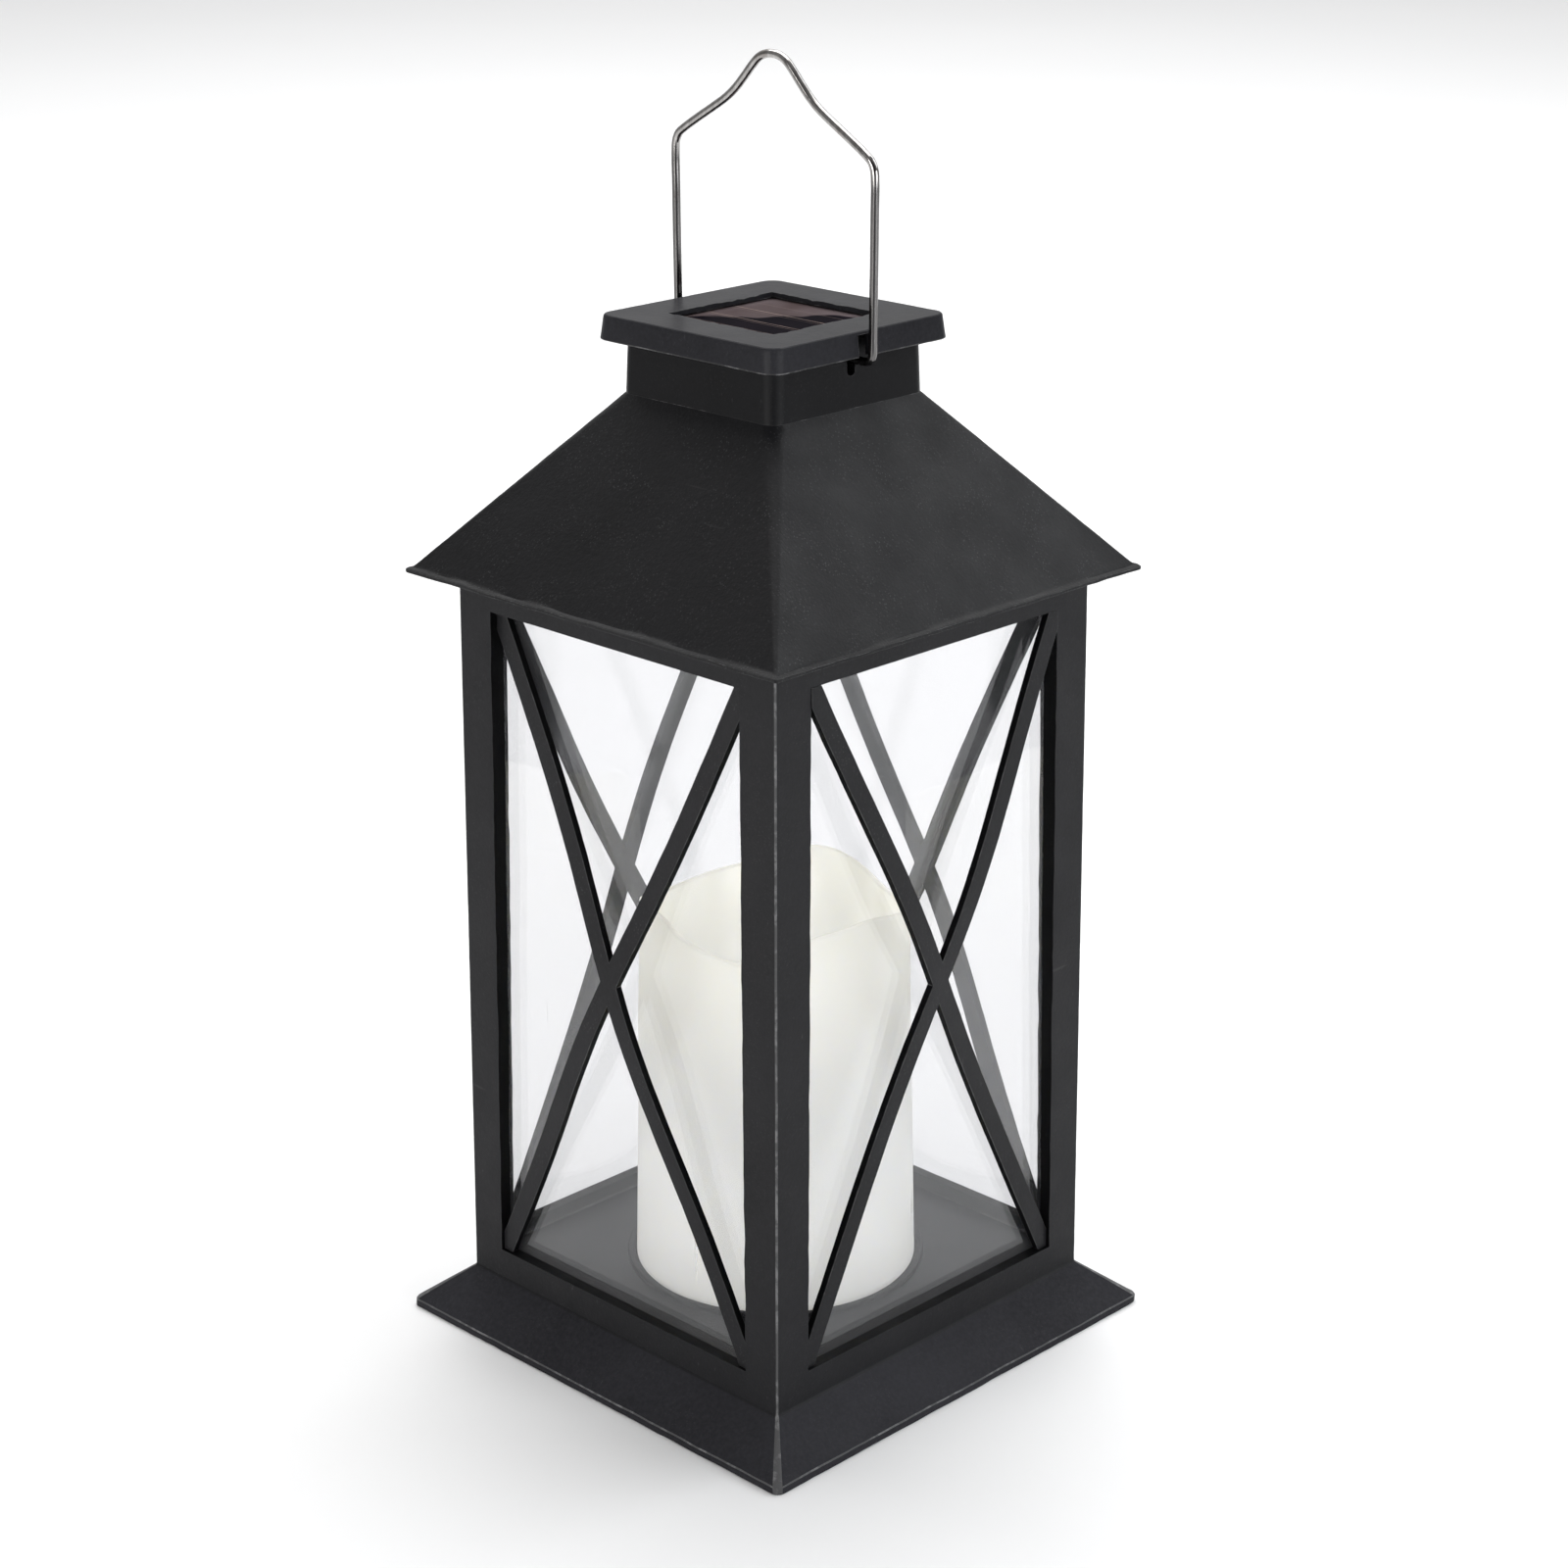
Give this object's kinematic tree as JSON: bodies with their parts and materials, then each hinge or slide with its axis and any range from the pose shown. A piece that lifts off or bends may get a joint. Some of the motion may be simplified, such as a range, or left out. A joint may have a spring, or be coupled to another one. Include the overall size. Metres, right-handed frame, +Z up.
{
  "type": "solar lantern",
  "caption": "Square black lantern with hipped roof, clear windows behind X braces, candle-shaped light, solar cell in the cap and a swinging wire bail; stands or hangs.",
  "frame": {"origin": "centre of the square footprint, on the surface the lantern stands on", "axes": "+Z up, through the cap; -Y towards the front window, +X towards the right window; the bail hinges about the line along X through the neck; faces normal to X and Y"},
  "size_m": [0.14, 0.14, 0.3362],
  "materials": {
    "body_plastic": "satin moulded",
    "base_plastic": "smooth moulded",
    "clear_pane": "clear moulded acrylic",
    "candle_plastic": "translucent satin",
    "solar_glass": "glossy encapsulated cell",
    "seal_foam": "soft matte",
    "bail_steel": "polished nickel plate",
    "screw_steel": "zinc plated",
    "battery_sleeve": "printed sleeve, no text",
    "contact_nickel": "nickel plated spring steel",
    "board_green": "solder mask",
    "lamp_lens": "diffused lens",
    "part_black": "moulded",
    "choke_green": "lacquered",
    "knob_plastic": "moulded",
    "lead_red": "insulation",
    "lead_black": "insulation"
  },
  "bodies": {
    "lantern": {"body_frame": "body_plastic", "x_brace_front": "body_plastic", "x_brace_right": "body_plastic", "x_brace_back": "body_plastic", "x_brace_left": "body_plastic", "roof_shell": "body_plastic", "ceiling_plate": "body_plastic", "solar_cap": "body_plastic", "floor_plate": "base_plastic", "base_cover": "base_plastic", "battery_door": "base_plastic", "pane_front": "clear_pane", "pane_right": "clear_pane", "pane_back": "clear_pane", "pane_left": "clear_pane", "candle_shell": "candle_plastic", "solar_cell": "solar_glass", "cell_seal": "seal_foam", "base_screw_1": "screw_steel", "base_screw_2": "screw_steel", "base_screw_3": "screw_steel", "base_screw_4": "screw_steel", "roof_screw_1": "screw_steel", "roof_screw_2": "screw_steel", "roof_screw_3": "screw_steel", "roof_screw_4": "screw_steel", "door_screw": "screw_steel", "board_screw_1": "screw_steel", "board_screw_2": "screw_steel", "battery_cell": "battery_sleeve", "contact_plus": "contact_nickel", "contact_minus": "contact_nickel", "contact_spring": "contact_nickel", "circuit_board": "board_green", "led_lamp": "lamp_lens", "controller_chip": "part_black", "switch_body": "part_black", "coil_choke": "choke_green", "cell_lead_red": "lead_red", "battery_lead_red": "lead_red", "switch_lead_red": "lead_red", "cell_lead_black": "lead_black", "battery_lead_black": "lead_black"},
    "bail": {"bail_wire": "bail_steel"},
    "switch": {"switch_slider": "knob_plastic"}
  },
  "joints": [
    {"name": "bail_swing", "type": "hinge", "parent": "lantern", "child": "bail", "pos_m": [0, 0, 0.2652], "axis": [1, 0, 0], "range_deg": [-120, 120]},
    {"name": "switch_slide", "type": "slide", "parent": "lantern", "child": "switch", "axis": [1, 0, 0], "range_m": [0, 0.003]}
  ]
}
